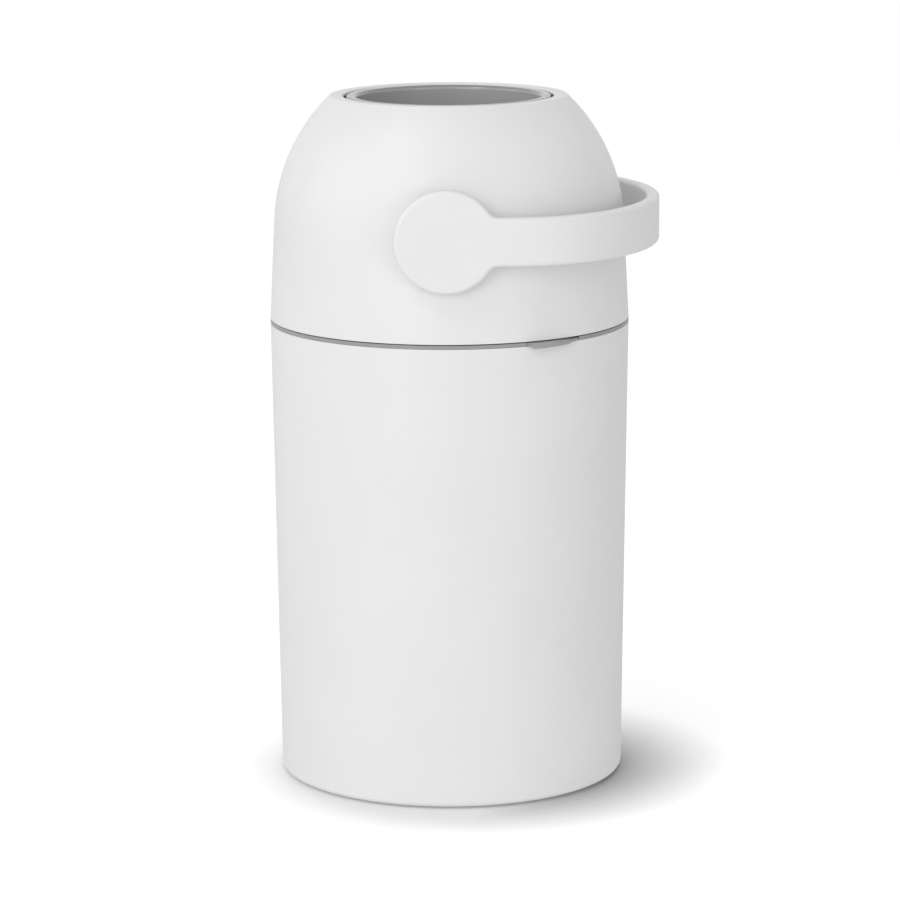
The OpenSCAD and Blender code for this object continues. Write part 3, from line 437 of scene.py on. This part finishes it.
lip.inputs["From Min"].default_value = LIP_START
lip.inputs["From Max"].default_value = LIP_START + LIP_BLEND
tree.links.new(apart.outputs[0], lip.inputs["Value"])
painted_lip_tone = tree.nodes.new("ShaderNodeMix")
painted_lip_tone.data_type = "RGBA"
painted_lip_tone.inputs["B"].default_value = (*LIP_GREY, 1)
tree.links.new(lip.outputs["Result"], painted_lip_tone.inputs["Factor"])
tree.links.new(tree.nodes["Color Ramp"].outputs["Color"], painted_lip_tone.inputs["A"])
tree.links.new(painted_lip_tone.outputs["Result"], tree.nodes["Principled BSDF"].inputs["Base Color"])
finish_node("barrel_rim_upper", rim_plastic)
finish_node("barrel_rim_lower", rim_plastic)

# ---------------------------------------------------------------- handle
# The white bail that turns the barrel: one smooth moulding with a round end on each side,
# and a keyed spigot behind each end that goes into the pivot shaft.

DISC_R = 0.039
STRAP_H = 0.0365
BAIL_T = 0.010
BAIL_EDGE_R = 0.003
HOLLOW_R = 0.010
DISC_IN_Y = 0.13997
BEND_START = 0.045037
BEND_RUN = 0.109064
SPIGOT_R = 0.012
SPIGOT_L = 0.022
SPIGOT_HOLE_R = 0.0025
SPIGOT_HOLE_L = 0.012
KEY_W = 0.005
KEY_H = 0.002
DISC_STEPS = 40
HOLLOW_STEPS = 16
BEND_STEPS = 144

hollow_z = STRAP_H / 2 + HOLLOW_R
hollow_u = math.sqrt((DISC_R + HOLLOW_R) ** 2 - hollow_z ** 2)
touch = math.atan2(hollow_z, hollow_u)
bail_far = 2 * BEND_START + math.pi  # the round end counts one unit for each radian


def bail_edge(inset):
    """Upper edge of the unrolled bail: its points and the way out from each."""
    end = []
    for i in range(DISC_STEPS + 1):
        a = math.pi + (touch - math.pi) * i / DISC_STEPS
        end.append(((DISC_R - inset) * math.cos(a), (DISC_R - inset) * math.sin(a),
                    math.cos(a), math.sin(a)))
    for i in range(1, HOLLOW_STEPS + 1):
        a = math.pi + touch + (math.pi / 2 - touch) * i / HOLLOW_STEPS
        end.append((hollow_u + (HOLLOW_R + inset) * math.cos(a),
                    hollow_z + (HOLLOW_R + inset) * math.sin(a), -math.cos(a), -math.sin(a)))
    middle = [(BEND_START + math.pi * i / BEND_STEPS, STRAP_H / 2 - inset, 0, 1)
              for i in range(BEND_STEPS + 1)]
    back = [(bail_far - u, z, -nu, nz) for u, z, nu, nz in reversed(end)]
    return end + middle + back


def bail_fold(u, w):
    """Where a place on the unrolled bail comes to lie, with the ways along and out of it."""
    a = min(max(u - BEND_START, 0), math.pi)
    along = Vector((BEND_RUN * math.cos(a), DISC_IN_Y * math.sin(a), 0)).normalized()
    out = Vector((along.y, -along.x, 0))
    flat = min(u, BEND_START) - max(u - BEND_START - math.pi, 0)
    place = Vector((flat + BEND_RUN * math.sin(a), -DISC_IN_Y * math.cos(a), PIVOT_Z))
    return place + w * out, along, out


def bail_shape():
    """The bail's skin: loops of its outline, drawn in towards both faces to round the edges."""
    steps = 8
    layers = []
    for i in range(steps + 1):
        a = math.pi / 2 * i / steps
        layers.append((BAIL_EDGE_R * (1 - math.sin(a)), BAIL_EDGE_R * (1 - math.cos(a)), a, -1))
    layers += [(inset, BAIL_T - w, a, 1) for inset, w, a, _ in reversed(layers)]
    points, outs, faces = [], [], []
    for inset, w, a, side in layers:
        upper = bail_edge(inset)
        loop = [(e, 1) for e in upper] + [(e, -1) for e in reversed(upper[1:-1])]
        for (u, z, nu, nz), flip in loop:
            place, along, out = bail_fold(u, w)
            edge_out = nu * along + Vector((0, 0, flip * nz))
            points.append(place + Vector((0, 0, flip * z)))
            outs.append((math.sin(a) * edge_out + side * math.cos(a) * out).normalized())
    m = len(upper)
    n = 2 * m - 2
    for k in range(len(layers) - 1):
        for i in range(n):
            j = (i + 1) % n
            faces.append((k * n + i, k * n + j, (k + 1) * n + j, (k + 1) * n + i))
    last = (len(layers) - 1) * n
    for i in range(m - 1):
        low, low_next = (n - i) % n, n - i - 1
        face = [i, i + 1] + ([low_next] if low_next != i + 1 else []) + ([low] if low != i else [])
        faces.append(tuple(last + p for p in face))
        faces.append(tuple(reversed(face)))
    return points, outs, faces


def spigot_shape(back):
    """A hollow spigot behind one round end, with a key above and below."""
    key_foot = math.asin(KEY_W / 2 / SPIGOT_R)
    key_top = math.atan(KEY_W / 2 / (SPIGOT_R + KEY_H))
    around = sorted(set([i * math.pi / 36 for i in range(72)] + [
        s + d for s in (math.pi / 2, 3 * math.pi / 2)
        for d in (-key_foot, key_foot, -key_top, key_top)]))
    side = 1 if back else -1
    start, tip = side * (DISC_IN_Y + 0.001), side * (DISC_IN_Y - SPIGOT_L)
    floor_y = side * (DISC_IN_Y - SPIGOT_L + SPIGOT_HOLE_L)
    key_half = key_top + 1e-6  # a hair more, so that the key's own corners count as its top

    def outer(a):
        off = min(abs(a - math.pi / 2), abs(a - 3 * math.pi / 2))
        return (SPIGOT_R + KEY_H) / math.cos(off) if off <= key_half else SPIGOT_R

    rings = [[(outer(a) * math.cos(a), y, outer(a) * math.sin(a)) for a in around]
             for y in (start, tip)]
    rings += [[(SPIGOT_HOLE_R * math.cos(a), y, SPIGOT_HOLE_R * math.sin(a)) for a in around]
              for y in (tip, floor_y)]
    n = len(around)
    points = [Vector(p) + Vector((0, 0, PIVOT_Z)) for ring in rings for p in ring]
    faces = [(k * n + i, k * n + (i + 1) % n, (k + 1) * n + (i + 1) % n, (k + 1) * n + i)
             for k in range(3) for i in range(n)]
    faces += [tuple(range(n)), tuple(range(3 * n, 4 * n))]
    return points, faces


bail_points, bail_outs, bail_faces = bail_shape()
for back in (False, True):
    more_points, more_faces = spigot_shape(back)
    shift = len(bail_points)
    bail_faces += [tuple(shift + p for p in face) for face in more_faces]
    bail_points += more_points
    bail_outs += [Vector((0, 0, 0))] * len(more_points)
handle = solid("bail_handle", bail_points, bail_faces, white_plastic, "turner", bail_outs)
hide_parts("handle")

HANDLE_SCREW_TIP_Y = 0.12997
HANDLE_SCREW_FACE_Y = 0.0775

for side in (-1, 1):
    screw = cross_screw("handle_screw_" + ("front" if side < 0 else "back"),
                        (0, side * HANDLE_SCREW_TIP_Y, PIVOT_Z),
                        (0, side * HANDLE_SCREW_FACE_Y, PIVOT_Z),
                        shank_r=0.00245, head_r=0.005, head_h=0.0029, thread=0.014,
                        body="turner", round_head=True)
    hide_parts("handle_screws")

# ---------------------------------------------------------------- piston
# The loose white puck that slides down the barrel, with its cap and two rubber lip seals.

finish_node("piston_body", inner_plastic)
finish_node("piston_cap", inner_plastic)
finish_node("piston_seal_upper", rubber)
finish_node("piston_seal_lower", rubber)

# ---------------------------------------------------------------- studio
# White paper under the bin and a white tent round it, lit by four soft boxes: two large ones,
# in front to the left and at the left side, a smaller one lower down on the right, and a small
# key high on the left.

FLOOR_HALF = 40
PAPER_TONE = 0.80
# painted shade and shadow on the paper: the values below shape the occlusion terms that darken it
# for the camera
NEAR_REACH = 0.09  # the dark close to the foot
NEAR_LEAN = (-0.5, 0.24, 0.86)  # to the left and back: the dark falls on the right and in front
LEAST_FROM, LEAST_TO = 0.02, 0.13  # along x, where its lower limit changes
LEAST_LEFT, LEAST_RIGHT = 0.68, 0.22
WIDE_REACH = 0.30  # the faint shade further out
WIDE_LEAST = 0.82
BOUNCE = 1.15  # lightens the paper for every ray but the camera's
PAPER_GLOW = 0.475  # for the camera alone, so that the far paper reads as white
TENT_LIGHT = 0.63

floor_mesh = bpy.data.meshes.new("floor")
floor_mesh.from_pydata([(-FLOOR_HALF, -FLOOR_HALF, 0), (FLOOR_HALF, -FLOOR_HALF, 0),
                        (FLOOR_HALF, FLOOR_HALF, 0), (-FLOOR_HALF, FLOOR_HALF, 0)],
                       [], [(0, 1, 2, 3)])
floor = bpy.data.objects.new("floor", floor_mesh)
bpy.context.scene.collection.objects.link(floor)

paper = bpy.data.materials.new("white_paper")
paper.use_nodes = True
tree = paper.node_tree
skin = tree.nodes["Principled BSDF"]
skin.inputs["Roughness"].default_value = 0.9
skin.inputs["Specular IOR Level"].default_value = 0.1
fibre = tree.nodes.new("ShaderNodeTexNoise")
fibre.inputs["Scale"].default_value = 400
relief = tree.nodes.new("ShaderNodeBump")
relief.inputs["Distance"].default_value = 0.00005
tree.links.new(fibre.outputs["Fac"], relief.inputs["Height"])
tree.links.new(relief.outputs["Normal"], skin.inputs["Normal"])

# the paper's painted shade: a near and a wide occlusion term, multiplied into its colour and glow
# for the camera alone; the near term's lower limit changes along x, so that the painted shadow
# goes darker on the right
near = tree.nodes.new("ShaderNodeAmbientOcclusion")
near.samples = 16
near.inputs["Distance"].default_value = NEAR_REACH
lean = tree.nodes.new("ShaderNodeCombineXYZ")
for i in range(3):
    lean.inputs[i].default_value = NEAR_LEAN[i]
tree.links.new(lean.outputs[0], near.inputs["Normal"])
place = tree.nodes.new("ShaderNodeTexCoord")
across = tree.nodes.new("ShaderNodeSeparateXYZ")
tree.links.new(place.outputs["Object"], across.inputs[0])
least = tree.nodes.new("ShaderNodeMapRange")
least.inputs["From Min"].default_value = LEAST_FROM
least.inputs["From Max"].default_value = LEAST_TO
least.inputs["To Min"].default_value = LEAST_LEFT
least.inputs["To Max"].default_value = LEAST_RIGHT
tree.links.new(across.outputs[0], least.inputs["Value"])
close = tree.nodes.new("ShaderNodeMath")
close.operation = "MAXIMUM"
tree.links.new(near.outputs["AO"], close.inputs[0])
tree.links.new(least.outputs["Result"], close.inputs[1])
wide = tree.nodes.new("ShaderNodeAmbientOcclusion")
wide.samples = 8
wide.inputs["Distance"].default_value = WIDE_REACH
soft = tree.nodes.new("ShaderNodeMapRange")
soft.inputs["To Min"].default_value = WIDE_LEAST
tree.links.new(wide.outputs["AO"], soft.inputs["Value"])
painted_shade = tree.nodes.new("ShaderNodeMath")
painted_shade.operation = "MULTIPLY"
tree.links.new(close.outputs[0], painted_shade.inputs[0])
tree.links.new(soft.outputs["Result"], painted_shade.inputs[1])
seen = tree.nodes.new("ShaderNodeLightPath")
shade = tree.nodes.new("ShaderNodeMapRange")
tree.links.new(seen.outputs["Is Camera Ray"], shade.inputs["Value"])
shade.inputs["To Min"].default_value = BOUNCE
tree.links.new(painted_shade.outputs[0], shade.inputs["To Max"])
tone = tree.nodes.new("ShaderNodeVectorMath")
tone.operation = "SCALE"
tone.inputs[0].default_value = (PAPER_TONE,) * 3
tree.links.new(shade.outputs["Result"], tone.inputs["Scale"])
tree.links.new(tone.outputs["Vector"], skin.inputs["Base Color"])
lift = tree.nodes.new("ShaderNodeMath")
lift.operation = "MULTIPLY"
lift.inputs[1].default_value = PAPER_GLOW
tree.links.new(seen.outputs["Is Camera Ray"], lift.inputs[0])
fade = tree.nodes.new("ShaderNodeMath")
fade.operation = "MULTIPLY"
tree.links.new(lift.outputs[0], fade.inputs[0])
tree.links.new(painted_shade.outputs[0], fade.inputs[1])
skin.inputs["Emission Color"].default_value = (1, 1, 1, 1)
tree.links.new(fade.outputs[0], skin.inputs["Emission Strength"])
floor_mesh.materials.append(paper)

world = bpy.data.worlds.new("studio")
bpy.context.scene.world = world
world.use_nodes = True
tree = world.node_tree
tent = tree.nodes["Background"]
tent.inputs["Color"].default_value = (1, 1, 1, 1)
tent.inputs["Strength"].default_value = TENT_LIGHT
shown = tree.nodes.new("ShaderNodeBackground")
shown.inputs["Color"].default_value = (1, 1, 1, 1)
shown.inputs["Strength"].default_value = 1
seen = tree.nodes.new("ShaderNodeLightPath")
straight = tree.nodes.new("ShaderNodeMath")
straight.operation = "MAXIMUM"
any_view = tree.nodes.new("ShaderNodeMath")
any_view.operation = "MAXIMUM"
pick = tree.nodes.new("ShaderNodeMixShader")
tree.links.new(seen.outputs["Is Camera Ray"], straight.inputs[0])
tree.links.new(seen.outputs["Is Glossy Ray"], straight.inputs[1])
tree.links.new(straight.outputs[0], any_view.inputs[0])
tree.links.new(seen.outputs["Is Transmission Ray"], any_view.inputs[1])
tree.links.new(any_view.outputs[0], pick.inputs["Fac"])
tree.links.new(tent.outputs["Background"], pick.inputs[1])
tree.links.new(shown.outputs["Background"], pick.inputs[2])
tree.links.new(pick.outputs["Shader"], tree.nodes["World Output"].inputs["Surface"])

LAMP_AIM_Z = 0.27  # about half the height of the bin


def soft_box(name, turn, rise, away, size, watts):
    """A square soft box, placed by its angle from the front and above its aim in degrees."""
    lamp = bpy.data.lights.new(name, "AREA")
    lamp.shape = "SQUARE"
    lamp.size = size
    lamp.energy = watts
    holder = bpy.data.objects.new(name, lamp)
    turn, rise = math.radians(turn), math.radians(rise)
    aim = Vector((0, 0, LAMP_AIM_Z))
    out = Vector((math.cos(rise) * math.sin(turn), -math.cos(rise) * math.cos(turn),
                  math.sin(rise)))
    holder.location = aim + away * out
    holder.rotation_euler = out.to_track_quat("Z", "Y").to_euler()
    bpy.context.scene.collection.objects.link(holder)


soft_box("front_box", turn=-25, rise=18, away=4, size=2.0, watts=36.5)
soft_box("left_box", turn=-85, rise=25, away=4, size=2.0, watts=14.0)
soft_box("right_box", turn=35, rise=5, away=4, size=1.4, watts=18.0)
soft_box("key_box", turn=-50, rise=55, away=4, size=0.8, watts=18.0)

# ---------------------------------------------------------------- camera
# A long lens three metres in front and 0.85 m above the floor, looking down at 11 degrees and
# turned one degree round the bin towards the tab.

CAMERA_PITCH = math.radians(11.331)
CAMERA_ROLL = math.radians(-0.285)
CAMERA_TURN = math.radians(1.0)
CAMERA_PLACE = (-0.0002, -2.9878, 0.8541)  # before its turn round the bin
LENS_MM = 153.99
lens = bpy.data.cameras.new("camera")
lens.sensor_width = 36
lens.lens = LENS_MM
camera = bpy.data.objects.new("camera", lens)
turn = Matrix.Rotation(CAMERA_TURN, 3, "Z")
tilt = Matrix.Rotation(math.pi / 2 - CAMERA_PITCH, 3, "X")
roll = Matrix.Rotation(CAMERA_ROLL, 3, "Z")
camera.location = turn @ Vector(CAMERA_PLACE)
camera.rotation_euler = (turn @ tilt @ roll).to_euler()
bpy.context.scene.collection.objects.link(camera)
bpy.context.scene.camera = camera
bpy.context.scene.view_settings.view_transform = "Standard"
